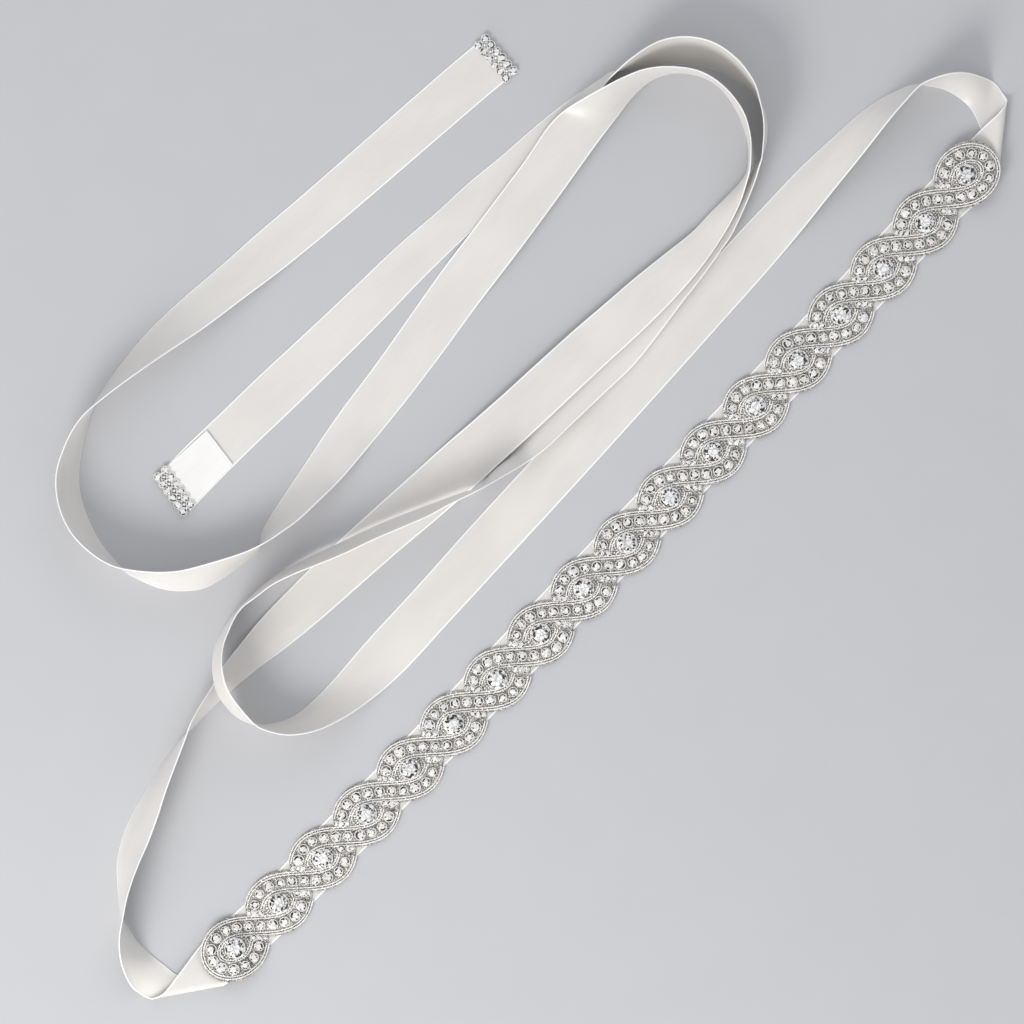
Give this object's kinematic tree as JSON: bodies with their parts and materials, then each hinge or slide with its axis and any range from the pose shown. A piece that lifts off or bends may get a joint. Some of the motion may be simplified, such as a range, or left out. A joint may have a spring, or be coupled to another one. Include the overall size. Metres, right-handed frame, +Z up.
{
  "type": "bridal belt",
  "caption": "Long satin ribbon sash with a beaded rhinestone applique sewn along its middle and stone-trimmed ends, laid out in loose loops.",
  "frame": {"origin": "centre of the laid-out belt's box, on the surface it lies on", "axes": "+Z up from the surface; +X and +Y along the surface, +Y towards the top of the picture and the applique running from -X -Y to +X +Y"},
  "size_m": [0.3814, 0.3867, 0.0269],
  "materials": {
    "satin": "silver-ivory double-faced satin with a soft sheen",
    "satin_hem": "satin, folded back and stitched",
    "crystal_beading": "clear foil-backed stones and silver-lined beads on net"
  },
  "bodies": {
    "root": {"applique": "crystal_beading", "belt_lower": "satin", "belt_upper": "satin", "corner_lean": "satin", "corner_roll": "satin", "corner_side": "satin", "corner_twist": "satin", "cross_run": "satin", "cross_run_standing": "satin", "cross_run_tuck": "satin", "end_loop": "satin", "end_roll": "satin", "first_tail": "satin", "first_tail_stones": "crystal_beading", "first_tail_turn": "satin", "inner_loop_crown": "satin", "inner_loop_rise": "satin", "inner_loop_side": "satin", "left_loop_band": "satin", "left_loop_foot": "satin", "left_loop_lower": "satin", "left_loop_upper": "satin", "left_run": "satin", "left_run_foot": "satin", "long_run_foot": "satin", "long_run_head": "satin", "long_run_lower": "satin", "long_run_upper": "satin", "lower_run": "satin", "lower_run_turn": "satin", "outer_loop_crown": "satin", "outer_loop_fall": "satin", "outer_loop_neck": "satin", "outer_loop_side": "satin", "second_tail": "satin", "second_tail_hem": "satin_hem", "second_tail_stones": "crystal_beading", "second_tail_turn": "satin", "second_tail_upper": "satin", "small_loop_high": "satin", "small_loop_low": "satin", "upper_run": "satin", "upper_run_neck": "satin"}
  },
  "joints": []
}
